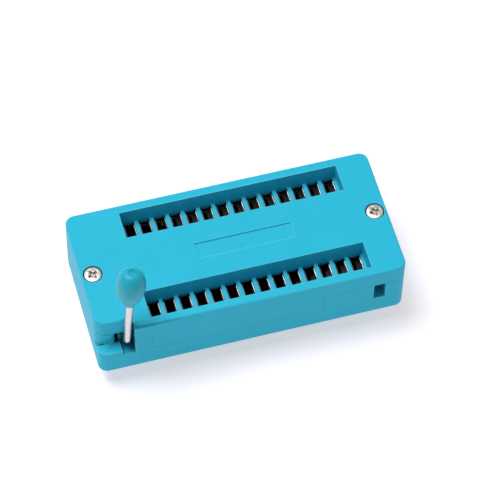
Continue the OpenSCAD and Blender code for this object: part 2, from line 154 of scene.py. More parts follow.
# %% [markdown]
# ## Cyan polysulphone
#
# The housing is moulded in glass-filled polysulphone, which stands the heat of
# soldering. The tool is spark eroded, so the skin is satin, with a fine orange
# peel, and the fibres just under it make faint paler flecks. The pigment is not
# quite even, so the colour drifts a little over some millimetres. Narrow gaps get
# painted shade, a darker colour where the Ambient Occlusion node finds the sky hidden.
# The same node, turned to look inside, finds the edges, and a painted highlight,
# a paler colour, runs along them.

# %% Housing material
PEEL_MM = 0.45  # real grain is near 0.1 mm; drawn coarser, so that it shows
FLECK_MM = 0.3
CLOUD_MM = 7.0
SHADE_GAP_MM = 2.5  # gaps narrower than this get painted shade
EDGE_HIGHLIGHT_MM = 0.22  # reach of the painted highlight band along an edge

housing_plastic, tree, shader, in_mm = new_material(
    "glass_filled_polysulphone", {"IOR": 1.63, "Specular IOR Level": 0.08}
)
cloud = add(tree, "ShaderNodeTexNoise", {"Scale": 1 / CLOUD_MM, "Detail": 2.0}, {"Vector": in_mm})
drift = add(
    tree,
    "ShaderNodeMix",
    {"data_type": "RGBA", 6: linear("#27BADA"), 7: linear("#31C0DF")},
    {0: cloud.outputs["Fac"]},
)
fleck = add(tree, "ShaderNodeTexNoise", {"Scale": 1 / FLECK_MM, "Detail": 1.0}, {"Vector": in_mm})
fleck_share = add(
    tree,
    "ShaderNodeMapRange",
    {"From Min": 0.62, "From Max": 0.8, "To Min": 0.0, "To Max": 0.22},
    {"Value": fleck.outputs["Fac"]},
)
add_fleck = add(
    tree,
    "ShaderNodeMix",
    {"data_type": "RGBA", 7: linear("#7FDCF0")},
    {0: fleck_share.outputs["Result"], 6: drift.outputs[2]},
)
gloss = add(
    tree,
    "ShaderNodeMapRange",
    {"From Min": 0.3, "From Max": 0.7, "To Min": 0.4, "To Max": 0.52},
    {"Value": fleck.outputs["Fac"]},
)
peel = add(tree, "ShaderNodeTexNoise", {"Scale": 1 / PEEL_MM, "Detail": 2.0}, {"Vector": in_mm})
grain = add(
    tree,
    "ShaderNodeBump",
    {"Strength": 0.2, "Distance": 0.03 * MM},
    {"Height": peel.outputs["Fac"]},
)
# Painted highlight: the colour turns paler, towards #A8ECF8, along the edges.
near_edge = add(
    tree, "ShaderNodeAmbientOcclusion", {"samples": 8, "inside": True, "Distance": EDGE_HIGHLIGHT_MM * MM}
)
edge_highlight_share = add(
    tree,
    "ShaderNodeMapRange",
    {"From Min": 0.5, "From Max": 0.9, "To Min": 0.55, "To Max": 0.0},
    {"Value": near_edge.outputs["AO"]},
)
add_edge_highlight = add(
    tree,
    "ShaderNodeMix",
    {"data_type": "RGBA", 7: linear("#A8ECF8")},
    {0: edge_highlight_share.outputs["Result"], 6: add_fleck.outputs[2]},
)
# Painted shade: the colour darkens towards #04252E in narrow gaps and deep corners.
open_sky = add(tree, "ShaderNodeAmbientOcclusion", {"samples": 8, "Distance": SHADE_GAP_MM * MM})
unshaded = add(
    tree,
    "ShaderNodeMapRange",
    {"From Min": 0.15, "From Max": 0.5, "To Min": 0.0, "To Max": 1.0},
    {"Value": open_sky.outputs["AO"]},
)
painted_gap_shade = add(
    tree,
    "ShaderNodeMix",
    {"data_type": "RGBA", 6: linear("#04252E")},
    {0: unshaded.outputs["Result"], 7: add_edge_highlight.outputs[2]},
)
tree.links.new(painted_gap_shade.outputs[2], shader.inputs["Base Color"])
tree.links.new(gloss.outputs["Result"], shader.inputs["Roughness"])
tree.links.new(grain.outputs["Normal"], shader.inputs["Normal"])
print("made", housing_plastic.name)

# %% [markdown]
# ## Black nylon
#
# The slide is sealed inside and only shows as darkness through the slots. It is
# glass-filled nylon, which wears well, and is matt where the fibres come up.

# %% Slide material
slide_plastic, tree, shader, in_mm = new_material(
    "glass_filled_nylon_black", {"IOR": 1.53, "Specular IOR Level": 0.25}
)
fibre = add(tree, "ShaderNodeTexNoise", {"Scale": 1 / FLECK_MM, "Detail": 2.0}, {"Vector": in_mm})
black = add(
    tree,
    "ShaderNodeMix",
    {"data_type": "RGBA", 6: linear("#050607"), 7: linear("#101214")},
    {0: fibre.outputs["Fac"]},
)
matt = add(
    tree,
    "ShaderNodeMapRange",
    {"From Min": 0.3, "From Max": 0.7, "To Min": 0.5, "To Max": 0.72},
    {"Value": fibre.outputs["Fac"]},
)
tree.links.new(black.outputs[2], shader.inputs["Base Color"])
tree.links.new(matt.outputs["Result"], shader.inputs["Roughness"])
print("made", slide_plastic.name)

# %% [markdown]
# ## Tin over phosphor bronze
#
# The contacts are pressed from plated strip. Matt tin is a soft, pale grey metal,
# with faint rolling lines across the width of the strip and slightly duller patches.

# %% Contact material
ROLL_MM = 0.12
contact_tin, tree, shader, in_mm = new_material("tin_plated_bronze", {"Metallic": 1.0})
rolled = add(tree, "ShaderNodeMapping", {"Scale": (1.0, 0.08, 1.0)}, {"Vector": in_mm})
lines = add(
    tree, "ShaderNodeTexNoise", {"Scale": 1 / ROLL_MM, "Detail": 2.0}, {"Vector": rolled.outputs["Vector"]}
)
tin = add(
    tree,
    "ShaderNodeMix",
    {"data_type": "RGBA", 6: linear("#C9CFD0"), 7: linear("#EDF0EE")},
    {0: lines.outputs["Fac"]},
)
dull = add(
    tree,
    "ShaderNodeMapRange",
    {"From Min": 0.3, "From Max": 0.7, "To Min": 0.24, "To Max": 0.4},
    {"Value": lines.outputs["Fac"]},
)
tree.links.new(tin.outputs[2], shader.inputs["Base Color"])
tree.links.new(dull.outputs["Result"], shader.inputs["Roughness"])
print("made", contact_tin.name)

# %% [markdown]
# ## Drawn stainless wire
#
# Wire that is pulled through a die has fine lines along its length. The tree that
# sweeps the wire writes an attribute with the place round and along it, so the
# lines follow the bend, which plain object coordinates could not do.

# %% Lever material
DIE_LINES = 9.0  # lines to a radius of the wire, coarse enough to show
lever_steel, tree, shader, _ = new_material("drawn_stainless_wire", {"Metallic": 1.0})
wire_place = add(tree, "ShaderNodeAttribute", {"attribute_name": "wire_place"})
die_lines = add(
    tree,
    "ShaderNodeTexNoise",
    {"Scale": DIE_LINES, "Detail": 2.0},
    {"Vector": wire_place.outputs["Vector"]},
)
steel = add(
    tree,
    "ShaderNodeMix",
    {"data_type": "RGBA", 6: linear("#B9B2AF"), 7: linear("#EBE4E2")},
    {0: die_lines.outputs["Fac"]},
)
drawn = add(
    tree,
    "ShaderNodeMapRange",
    {"From Min": 0.3, "From Max": 0.7, "To Min": 0.18, "To Max": 0.36},
    {"Value": die_lines.outputs["Fac"]},
)
tree.links.new(steel.outputs[2], shader.inputs["Base Color"])
tree.links.new(drawn.outputs["Result"], shader.inputs["Roughness"])
print("made", lever_steel.name)

# %% [markdown]
# ## Cloudy knob
#
# The knob is moulded over the wire in an unfilled, lightly tinted resin. Light
# goes a little way in and comes out softened, which subsurface scattering gives.

# %% Knob material
MILK_MM = 2.4
knob_plastic, tree, shader, in_mm = new_material(
    "cloudy_tinted_resin",
    {
        "IOR": 1.5,
        "Subsurface Weight": 0.6,
        "Subsurface Radius": (0.25, 0.8, 0.9),
        "Subsurface Scale": 1.5 * MM,
        "Specular IOR Level": 0.3,
    },
)
milk = add(tree, "ShaderNodeTexNoise", {"Scale": 1 / MILK_MM, "Detail": 2.0}, {"Vector": in_mm})
teal = add(
    tree,
    "ShaderNodeMix",
    {"data_type": "RGBA", 6: linear("#0FA9C0"), 7: linear("#1DB4CB")},
    {0: milk.outputs["Fac"]},
)
handled = add(
    tree,
    "ShaderNodeMapRange",
    {"From Min": 0.3, "From Max": 0.7, "To Min": 0.32, "To Max": 0.44},
    {"Value": milk.outputs["Fac"]},
)
tree.links.new(teal.outputs[2], shader.inputs["Base Color"])
tree.links.new(handled.outputs["Result"], shader.inputs["Roughness"])
print("made", knob_plastic.name)

# %% [markdown]
# ## Passivated nickel screws
#
# The screw heads are bright, with brown and green tints that gather low in the
# cross, where plating and passivation are thickest. So the tint is mixed in by
# the distance from the screw's axis, which the tree that sets the screws stores.

# %% Screw material
TINT_R_MM = 0.95
PATCH_MM = 0.5
screw_nickel, tree, shader, in_mm = new_material("passivated_nickel", {"Metallic": 1.0})
patch = add(tree, "ShaderNodeTexNoise", {"Scale": 1 / PATCH_MM, "Detail": 1.0}, {"Vector": in_mm})
tints = add(tree, "ShaderNodeValToRGB", links={"Fac": patch.outputs["Fac"]})
tints.color_ramp.elements[0].position = 0.4
tints.color_ramp.elements[0].color = linear("#8E5A3C")
tints.color_ramp.elements[1].position = 0.6
tints.color_ramp.elements[1].color = linear("#7C9A86")
on_head = add(tree, "ShaderNodeAttribute", {"attribute_name": "head_place"})
from_axis = add(tree, "ShaderNodeVectorMath", {"operation": "LENGTH"}, {0: on_head.outputs["Vector"]})
in_recess = add(
    tree,
    "ShaderNodeMapRange",
    {"From Min": TINT_R_MM * 0.7, "From Max": TINT_R_MM, "To Min": 0.65, "To Max": 0.02},
    {"Value": from_axis.outputs["Value"]},
)
nickel = add(
    tree,
    "ShaderNodeMix",
    {"data_type": "RGBA", 6: linear("#F6F3EE")},
    {0: in_recess.outputs["Result"], 7: tints.outputs["Color"]},
)
plated = add(
    tree,
    "ShaderNodeMapRange",
    {"From Min": 0.3, "From Max": 0.7, "To Min": 0.42, "To Max": 0.55},
    {"Value": patch.outputs["Fac"]},
)
tree.links.new(nickel.outputs[2], shader.inputs["Base Color"])
tree.links.new(plated.outputs["Result"], shader.inputs["Roughness"])
print("made", screw_nickel.name)

# %% [markdown]
# ## Softened copies
#
# No moulded or pressed edge is perfectly sharp, and the thin lines of light along
# the real ones come from radii of a tenth of a millimetre. A CAD node's own mesh
# may not change, so each body gets a copy: its loose triangles are merged, flat
# areas are joined into single faces, and a Bevel modifier rounds the sharp edges.
# Edges whose neighbours are too short to give room stay sharp, by their weight.

# %% Copy with rounded edges
SMOOTH_ANGLE = math.radians(35)
FLAT_ANGLE = math.radians(0.4)
MERGE = 0.0005 * MM
ROOM = 1.4  # the shortest neighbour that gives room, in bevel widths


def plain_mesh(piece):
    """Turns a piece's evaluated result into its own plain mesh, without modifiers."""
    bpy.context.view_layer.update()
    result = bpy.data.meshes.new_from_object(piece.evaluated_get(bpy.context.evaluated_depsgraph_get()))
    piece.modifiers.clear()
    piece.data = result
    return piece


def softened(node, name, material, edge, steps=2):
    """A copy of a CAD node with its sharp edges rounded by a radius near edge."""
    shape = bmesh.new()
    shape.from_mesh(frame["nodes"][node].data)
    bmesh.ops.remove_doubles(shape, verts=shape.verts, dist=MERGE)
    bmesh.ops.dissolve_limit(
        shape, angle_limit=FLAT_ANGLE, verts=shape.verts, edges=shape.edges, delimit=set()
    )
    weight = shape.edges.layers.float.new("bevel_weight_edge")
    for line in shape.edges:
        around = [e.calc_length() for v in line.verts for e in v.link_edges]
        if line.calc_face_angle(0) > SMOOTH_ANGLE and min(around) > ROOM * edge:
            line[weight] = 1.0
    mesh = bpy.data.meshes.new(name)
    shape.to_mesh(mesh)
    shape.free()
    piece = bpy.data.objects.new(name, mesh)
    scene.collection.objects.link(piece)
    mesh.materials.append(material)
    bevel = piece.modifiers.new("Edges", "BEVEL")
    bevel.width, bevel.segments = edge, steps
    bevel.limit_method, bevel.use_clamp_overlap = "WEIGHT", False
    flat = piece.modifiers.new("Flat faces stay flat", "WEIGHTED_NORMAL")
    flat.weight, flat.keep_sharp = 100, False
    mesh.shade_smooth()
    plain_mesh(piece)
    # A bevel can push a corner a hair past the node's box, so each point is kept in it.
    low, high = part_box(node)
    for point in piece.data.vertices:
        point.co = [min(max(c, least), most) for c, least, most in zip(point.co, low, high)]
    return piece


def placed(piece, body, slot, *nodes):
    """Puts a finished piece on its body, in place of the CAD nodes it stands for."""
    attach(piece, body)
    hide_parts(*nodes)
    print(f"{piece.name}: {len(piece.data.polygons)} faces on {body}")


print("edges sharper than", round(math.degrees(SMOOTH_ANGLE)), "degrees are rounded")


# %% [markdown]
# ## Housing
#
# Base and cover meet at a stepped line along the sides. Their own edge radii leave
# the fine groove that shows where two mouldings meet. The slide is moulded too, so
# it is made in the same way, and rides its own body.

# %% Base, cover and slide
EDGE = 0.1 * MM
placed(softened("base", "moulded_base", housing_plastic, EDGE), "housing", "housing_plastic", "base")
placed(softened("cover", "moulded_cover", housing_plastic, EDGE), "housing", "housing_plastic", "cover")
placed(softened("slide", "ladder_slide", slide_plastic, EDGE), "contact_slide", "slide_plastic", "slide")

# %% [markdown]
# ## Running a Geometry Nodes tree
#
# A tree is a recipe with named inputs. It is put on an object as a modifier, given
# its sizes by the sockets' identifiers, evaluated once, and its result is kept as
# a plain mesh, because the later steps and the export need real faces.

# %% Tree helpers
def open_tree(name, inputs):
    """A new Geometry Nodes tree with named inputs, and its Group Input node."""
    recipe = bpy.data.node_groups.new(name, "GeometryNodeTree")
    recipe.interface.new_socket("Geometry", in_out="INPUT", socket_type="NodeSocketGeometry")
    recipe.interface.new_socket("Geometry", in_out="OUTPUT", socket_type="NodeSocketGeometry")
    for key, kind in inputs.items():
        recipe.interface.new_socket(key, in_out="INPUT", socket_type="NodeSocket" + kind)
    return recipe, recipe.nodes.new("NodeGroupInput").outputs


def close_tree(recipe, geometry, material):
    """Ends a tree with real geometry and its material."""
    real = add(recipe, "GeometryNodeRealizeInstances", links={"Geometry": geometry})
    painted = add(
        recipe,
        "GeometryNodeSetMaterial",
        links={"Geometry": real.outputs["Geometry"], "Material": material},
    )
    add(recipe, "NodeGroupOutput", links={"Geometry": painted.outputs["Geometry"]})


def grown(name, recipe, values, points=(), edges=()):
    """The plain mesh that a tree makes from a few points and edges."""
    mesh = bpy.data.meshes.new(name)
    mesh.from_pydata(points, edges, [])
    piece = bpy.data.objects.new(name, mesh)
    scene.collection.objects.link(piece)
    modifier = piece.modifiers.new("Recipe", "NODES")
    modifier.node_group = recipe
    sockets = {s.name: s.identifier for s in recipe.interface.items_tree if s.in_out == "INPUT"}
    for key, value in values.items():
        modifier[sockets[key]] = value
    return plain_mesh(piece)


def crease(piece, angle=SMOOTH_ANGLE):
    """Smooth shading, with edges sharper than the angle left crisp."""
    piece.data.shade_smooth()
    piece.data.set_sharp_from_angle(angle=angle)
    return piece


print("trees can now be built and grown")

# %% [markdown]
# ## Contacts
#
# Every position holds the same pressing: a foot on the floor of its cell, a tail
# bent down through the board and two arms that stand up into the slot. One arm is
# fixed. The other leans on the slide and springs after it when the lever folds.
# So the pressing is cut in two where the arm leaves the foot, and each half is
# repeated on a grid of points, one mesh for what stays and one for what bends.

# %% Cut the pressing in two
STRIP_EDGE = 0.035 * MM
ARM_IN = 0.6 * MM  # from the outside of an arm in to where the foot starts to bend up
pressing = softened("contact_front_1", "pressing", contact_tin, STRIP_EDGE, 1)
pressing.data.transform(Matrix.Translation(-Vector((first_contact.x, first_contact.y, 0))))
bend_x = (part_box("contact_front_1")[1] - first_contact).x - ARM_IN


def half_of_pressing(name, keep_arm):
    """One side of the cut, closed again with a face."""
    shape = bmesh.new()
    shape.from_mesh(pressing.data)
    cut = bmesh.ops.bisect_plane(
        shape,
        geom=[*shape.verts, *shape.edges, *shape.faces],
        plane_co=(bend_x, 0, 0),
        plane_no=(1, 0, 0),
        clear_inner=keep_arm,
        clear_outer=not keep_arm,
    )
    rim = [e for e in cut["geom_cut"] if isinstance(e, bmesh.types.BMEdge)]
    bmesh.ops.contextual_create(shape, geom=rim)
    mesh = bpy.data.meshes.new(name)
    shape.to_mesh(mesh)
    shape.free()
    part = bpy.data.objects.new(name, mesh)
    scene.collection.objects.link(part)
    return part


print(f"the pressing is cut {bend_x / MM:.2f} mm from its middle")

# %% [markdown]
# A grid of points holds one half at each position. Its size is the length of a row
# by the spacing of the rows, so it stays right when the number of contacts changes.

# %% Repeat the halves on a grid
recipe, given = open_tree(
    "Contact rows",
    {
        "Pressing": "Object",
        "Positions": "Int",
        "Row length": "Float",
        "Row spacing": "Float",
        "Metal": "Material",
    },
)
grid = add(
    recipe,
    "GeometryNodeMeshGrid",
    {"Vertices Y": 2},
    {"Size X": given["Row length"], "Size Y": given["Row spacing"], "Vertices X": given["Positions"]},
)
one = add(recipe, "GeometryNodeObjectInfo", {"transform_space": "ORIGINAL"}, {"Object": given["Pressing"]})
rows = add(
    recipe,
    "GeometryNodeInstanceOnPoints",
    links={"Points": grid.outputs["Mesh"], "Instance": one.outputs["Geometry"]},
)
close_tree(recipe, rows.outputs["Instances"], given["Metal"])

contact_nodes = sorted(name for name in frame["nodes"] if name.startswith("contact_"))
contact_pieces = {}
for name, keep_arm in (("contact_fixed_rows", False), ("contact_sprung_rows", True)):
    half = half_of_pressing(name + "_half", keep_arm)
    contact_pieces[name] = grown(
        name,
        recipe,
        {
            "Pressing": half,
            "Positions": positions,
            "Row length": pitch * (positions - 1),
            "Row spacing": row_spacing,
            "Metal": contact_tin,
        },
    )
    bpy.data.objects.remove(half)
bpy.data.objects.remove(pressing)
fixed_rows, sprung_rows = contact_pieces["contact_fixed_rows"], contact_pieces["contact_sprung_rows"]
placed(crease(fixed_rows), "housing", "contact_metal", *contact_nodes)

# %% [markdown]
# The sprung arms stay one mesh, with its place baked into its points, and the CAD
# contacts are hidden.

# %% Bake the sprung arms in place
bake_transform(crease(sprung_rows))
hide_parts(*contact_nodes)
print(f"{sprung_rows.name}: {len(sprung_rows.data.polygons)} faces")

# %% [markdown]
# ## Lever
#
# The lever is one piece of wire: a shaft across the body, a tight bend and the
# upright. A path of three points is enough. The tree rounds its corner to the bend
# radius and sweeps a circle along it, and on the way it stores the place round and
# along the wire for the drawn lines. Two eccentric cams are pressed on the shaft.

# %% Wire and cams
BEND_R = 1.3 * MM
CAM_D = 2.3 * MM
CAM_L = 2.6 * MM
CAM_IN = 3.8 * MM
CAM_THROW = 0.42 * MM
BEND_STEPS = 16
WIRE_SIDES = 40
CAM_SIDES = 64
LINE_STRETCH = 60.0  # steps of the pattern to a metre of wire, few, so the lines run long
rod_low, rod_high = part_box("lever_rod")
rod_y = middle("lever_knob").y
wire_r = rod_y - rod_low.y
rod_top = (rod_high.z - shaft.z - wire_r * math.sin(lean)) / math.cos(lean)
upright = Vector((math.sin(lean), 0, math.cos(lean)))

recipe, given = open_tree(
    "Bent wire with cams",
    {
        "Wire radius": "Float",
        "Bend radius": "Float",
        "Cam radius": "Float",
        "Cam length": "Float",
        "Cam place": "Vector",
        "Other cam place": "Vector",
        "Steel": "Material",
    },
)
path = add(recipe, "GeometryNodeMeshToCurve", links={"Mesh": given["Geometry"]})
bent = add(
    recipe,
    "GeometryNodeFilletCurve",
    {"mode": "POLY", "Count": BEND_STEPS},
    {"Curve": path.outputs["Curve"], "Radius": given["Bend radius"]},
)
along = add(recipe, "GeometryNodeSplineParameter")
keep_along = add(recipe, "GeometryNodeCaptureAttribute", links={"Geometry": bent.outputs["Curve"]})
keep_along.capture_items.new("FLOAT", "Along")
recipe.links.new(along.outputs["Length"], keep_along.inputs["Along"])
ring = add(
    recipe, "GeometryNodeCurvePrimitiveCircle", {"Resolution": WIRE_SIDES}, {"Radius": given["Wire radius"]}
)
ring_place = add(recipe, "GeometryNodeInputPosition")
keep_round = add(recipe, "GeometryNodeCaptureAttribute", links={"Geometry": ring.outputs["Curve"]})
keep_round.capture_items.new("VECTOR", "Round")
recipe.links.new(ring_place.outputs["Position"], keep_round.inputs["Round"])
swept = add(
    recipe,
    "GeometryNodeCurveToMesh",
    {"Fill Caps": True},
    {"Curve": keep_along.outputs["Geometry"], "Profile Curve": keep_round.outputs["Geometry"]},
)
in_radii = add(
    recipe,
    "ShaderNodeVectorMath",
    {"operation": "DIVIDE"},
    {0: keep_round.outputs["Round"], 1: given["Wire radius"]},
)
split = add(recipe, "ShaderNodeSeparateXYZ", links={"Vector": in_radii.outputs["Vector"]})
stretched = add(
    recipe, "ShaderNodeMath", {"operation": "MULTIPLY", 1: LINE_STRETCH}, {0: keep_along.outputs["Along"]}
)
wire_place = add(
    recipe,
    "ShaderNodeCombineXYZ",
    links={"X": split.outputs["X"], "Y": split.outputs["Y"], "Z": stretched.outputs["Value"]},
)
marked = add(
    recipe,
    "GeometryNodeStoreNamedAttribute",
    {"data_type": "FLOAT_VECTOR", "domain": "POINT", "Name": "wire_place"},
    {"Geometry": swept.outputs["Mesh"], "Value": wire_place.outputs["Vector"]},
)
cam = add(
    recipe,
    "GeometryNodeMeshCylinder",
    {"Vertices": CAM_SIDES},
    {"Radius": given["Cam radius"], "Depth": given["Cam length"]},
)
cams = []
for place in ("Cam place", "Other cam place"):
    moved = add(
        recipe,
        "GeometryNodeTransform",
        {"Rotation": Euler((math.pi / 2, 0, 0))},
        {"Geometry": cam.outputs["Mesh"], "Translation": given[place]},
    )
    cams.append(moved.outputs["Geometry"])
whole = add(recipe, "GeometryNodeMeshBoolean", {"operation": "UNION", "solver": "EXACT"})
for solid in (marked.outputs["Geometry"], *cams):
    recipe.links.new(solid, whole.inputs["Mesh 2"])
close_tree(recipe, whole.outputs["Mesh"], given["Steel"])

swing = math.radians(hinge["range_deg"][1]) / 2
cam_axis = shaft + CAM_THROW * Vector((math.sin(swing), 0, math.cos(swing)))
wire_points = [
    (shaft.x, rod_high.y, shaft.z),
    (shaft.x, rod_y, shaft.z),
    tuple(Vector((shaft.x, rod_y, shaft.z)) + rod_top * upright),
]
bent_wire = grown(
    "lever_wire",
    recipe,
    {
        "Wire radius": wire_r,
        "Bend radius": BEND_R,
        "Cam radius": CAM_D / 2,
        "Cam length": CAM_L,
        "Cam place": (cam_axis.x, CAM_IN, cam_axis.z),
        "Other cam place": (cam_axis.x, -CAM_IN, cam_axis.z),
        "Steel": lever_steel,
    },
    wire_points,
    [(0, 1), (1, 2)],
)
placed(crease(bent_wire), "lever", "lever_steel", "lever_rod")

# %% [markdown]
# ## Knob
#
# The knob is a drop that follows one rule. Up to its widest place the radius
# grows as a sine, and from there the crown closes as a power of a cosine. The tree
# puts the points of a line where the rule says, sweeps a circle of that radius
# along it, and then cuts the wire's hole and the small gate mark on the crown.

# %% Knob by rule
NECK_R = 0.95 * MM
KNOB_LENGTH = 8.2 * MM
BELLY = 0.58  # share of the length up to the widest place
CROWN_POWER = 0.62
GATE_R = 0.65 * MM
GATE_DEPTH = 0.2 * MM
RINGS = 72
KNOB_SIDES = 72
CUTTER_SIDES = 48
CLOSE_GAP = 0.002 * MM
knob_low, knob_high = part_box("lever_knob")
knob_start = (knob_low.z + NECK_R * math.sin(lean) - shaft.z) / math.cos(lean)

recipe, given = open_tree(
    "Drop knob",
    {
        "Length": "Float",
        "Neck radius": "Float",
        "Widest radius": "Float",
        "Belly": "Float",
        "Crown power": "Float",
        "Rings": "Int",
        "Wire radius": "Float",
        "Wire depth": "Float",
        "Gate radius": "Float",
        "Gate depth": "Float",
        "Place": "Vector",
        "Turn": "Vector",
        "Resin": "Material",
    },
)
line = add(recipe, "GeometryNodeCurvePrimitiveLine")
points = add(
    recipe, "GeometryNodeResampleCurve", links={"Curve": line.outputs["Curve"], "Count": given["Rings"]}
)
ring_number = add(recipe, "GeometryNodeSplineParameter")

# %% [markdown]
# The rule is written as a list of steps: what the step gives, its operation and its
# terms, which are numbers, inputs of the tree or results of steps above. One loop
# turns each step into a Math node, which reads better than a page of nodes.

# %% Steps of the knob's rule
KNOB_RULE = [
    ("last ring", "SUBTRACT", "Rings", 1.0),
    ("share", "DIVIDE", "ring", "last ring"),
    ("first half", "MINIMUM", "share", 0.5),
    ("rise", "MULTIPLY", "first half", math.pi),
    ("second half", "MAXIMUM", "share", 0.5),
    ("past half", "SUBTRACT", "second half", 0.5),
    ("close", "MULTIPLY", "past half", math.pi),
    ("growth", "SUBTRACT", "Widest radius", "Neck radius"),
    ("sine of rise", "SINE", "rise"),
    ("swell", "MULTIPLY", "growth", "sine of rise"),
    ("cosine of close", "COSINE", "close"),
    ("still open", "MAXIMUM", "cosine of close", 0.0),
    ("crown", "POWER", "still open", "Crown power"),
    ("swollen radius", "ADD", "Neck radius", "swell"),
    ("radius", "MULTIPLY", "swollen radius", "crown"),
    ("way to belly", "MULTIPLY", "rise", 2 / math.pi),
    ("below", "MULTIPLY", "way to belly", "Belly"),
    ("over belly", "SUBTRACT", 1.0, "Belly"),
    ("sine of close", "SINE", "close"),
    ("above", "MULTIPLY", "over belly", "sine of close"),
    ("level share", "ADD", "below", "above"),
    ("level", "MULTIPLY", "level share", "Length"),
    ("wire cutter length", "MULTIPLY", "Wire depth", 2.0),
    ("gate cutter length", "MULTIPLY", "Gate depth", 2.0),
]
known = dict(given.items())
known["ring"] = ring_number.outputs["Index"]
for result, operation, *terms in KNOB_RULE:
    numbers = {i: term for i, term in enumerate(terms) if not isinstance(term, str)}
    sources = {i: known[term] for i, term in enumerate(terms) if isinstance(term, str)}
    step = add(recipe, "ShaderNodeMath", {"operation": operation, **numbers}, sources)
    known[result] = step.outputs["Value"]
print(len(KNOB_RULE), "steps make the radius and the level of each ring")

# %% Skin, holes and place of the knob
axis_point = add(recipe, "ShaderNodeCombineXYZ", links={"Z": known["level"]})
spaced = add(
    recipe,
    "GeometryNodeSetPosition",
    links={"Geometry": points.outputs["Curve"], "Position": axis_point.outputs["Vector"]},
)
circle = add(recipe, "GeometryNodeCurvePrimitiveCircle", {"Resolution": KNOB_SIDES, "Radius": 1.0})
skin = add(
    recipe,
    "GeometryNodeCurveToMesh",
    {"Fill Caps": True},
    {
        "Curve": spaced.outputs["Geometry"],
        "Profile Curve": circle.outputs["Curve"],
        "Scale": known["radius"],
    },
)
closed = add(
    recipe, "GeometryNodeMergeByDistance", {"Distance": CLOSE_GAP}, {"Geometry": skin.outputs["Mesh"]}
)
cutters = []
for cutter, height in (("wire", {}), ("gate", {"Z": given["Length"]})):
    tool = add(
        recipe,
        "GeometryNodeMeshCylinder",
        {"Vertices": CUTTER_SIDES},
        {"Radius": given[f"{cutter.title()} radius"], "Depth": known[f"{cutter} cutter length"]},
    )
    spot = add(recipe, "ShaderNodeCombineXYZ", links=height)
    moved = add(
        recipe,
        "GeometryNodeTransform",
        links={"Geometry": tool.outputs["Mesh"], "Translation": spot.outputs["Vector"]},
    )
    cutters.append(moved.outputs["Geometry"])
cut = add(
    recipe,
    "GeometryNodeMeshBoolean",
    {"operation": "DIFFERENCE", "solver": "EXACT"},
    {"Mesh 1": closed.outputs["Geometry"]},
)
for tool in cutters:
    recipe.links.new(tool, cut.inputs["Mesh 2"])
set_down = add(
    recipe,
    "GeometryNodeTransform",
    links={"Geometry": cut.outputs["Mesh"], "Translation": given["Place"], "Rotation": given["Turn"]},
)
close_tree(recipe, set_down.outputs["Geometry"], given["Resin"])
knob = grown(
    "lever_drop_knob",
    recipe,
    {
        "Length": KNOB_LENGTH,
        "Neck radius": NECK_R,
        "Widest radius": (knob_high.y - knob_low.y) / 2,
        "Belly": BELLY,
        "Crown power": CROWN_POWER,
        "Rings": RINGS,
        "Wire radius": wire_r,
        "Wire depth": rod_top - knob_start,
        "Gate radius": GATE_R,
        "Gate depth": GATE_DEPTH,
        "Place": tuple(Vector((shaft.x, rod_y, shaft.z)) + knob_start * upright),
        "Turn": (0, lean, 0),
        "Resin": knob_plastic,
    },
)
placed(crease(knob), "lever", "knob_plastic", "lever_knob")

# %% [markdown]
# ## Screws
#
# Both screws are one small cross-recess screw, and no two are ever driven to the
# same angle. The tree stands a copy on each point of a short line and turns each
# by its own random angle, with a fixed seed so that it is the same on every run.

# %% Two screws on a line
SCREW_EDGE = 0.05 * MM
MOST_TURN = 0.6  # radians either way
screw_low, screw_high = middle("screw_lever_end"), middle("screw_plain_end")
master = softened("screw_lever_end", "screw_master", screw_nickel, SCREW_EDGE)
master.data.transform(Matrix.Translation(-Vector((screw_low.x, screw_low.y, 0))))
recipe, given = open_tree(
    "Screws", {"Screw": "Object", "First": "Vector", "Step": "Vector", "Seed": "Int", "Plate": "Material"}
)
spots = add(
    recipe,
    "GeometryNodeMeshLine",
    {"Count": 2},
    {"Start Location": given["First"], "Offset": given["Step"]},
)
turn = add(
    recipe,
    "FunctionNodeRandomValue",
    {"data_type": "FLOAT", 2: -MOST_TURN, 3: MOST_TURN},
    {"Seed": given["Seed"]},
)
heading = add(recipe, "ShaderNodeCombineXYZ", links={"Z": turn.outputs[1]})
one = add(recipe, "GeometryNodeObjectInfo", {"transform_space": "ORIGINAL"}, {"Object": given["Screw"]})
own_place = add(recipe, "GeometryNodeInputPosition")
across_head = add(
    recipe,
    "ShaderNodeVectorMath",
    {"operation": "MULTIPLY", 1: (1 / MM, 1 / MM, 0)},
    {0: own_place.outputs["Position"]},
)
marked = add(
    recipe,
    "GeometryNodeStoreNamedAttribute",
    {"data_type": "FLOAT_VECTOR", "domain": "POINT", "Name": "head_place"},
    {"Geometry": one.outputs["Geometry"], "Value": across_head.outputs["Vector"]},
)
screws = add(
    recipe,
    "GeometryNodeInstanceOnPoints",
    links={
        "Points": spots.outputs["Mesh"],
        "Instance": marked.outputs["Geometry"],
        "Rotation": heading.outputs["Vector"],
    },
)
close_tree(recipe, screws.outputs["Instances"], given["Plate"])
screw_pair = grown(
    "housing_screws",
    recipe,
    {
        "Screw": master,
        "First": (screw_low.x, screw_low.y, 0),
        "Step": tuple((screw_high - screw_low) * Vector((1, 1, 0))),
        "Seed": 3,
        "Plate": screw_nickel,
    },
)
bpy.data.objects.remove(master)
placed(crease(screw_pair), "housing", "screw_steel", "screw_lever_end", "screw_plain_end")

# %% [markdown]
# ## Floor and background
#
# The socket stands on the tips of its tails on a pale table. Seen by the camera,
# or in a reflection, the floor adds some white of its own to what the lamps give
# it, so it reads as white paper and still keeps a soft, slightly violet shadow.

# %% Floor
FLOOR_SIZE = 1.2
SHADOW_SHARE = ("#D8D8E4", "#BCB6B3")  # light that falls on it, and its own white
BOUNCE = 0.2  # what the rest of a bright table sends up at the sides

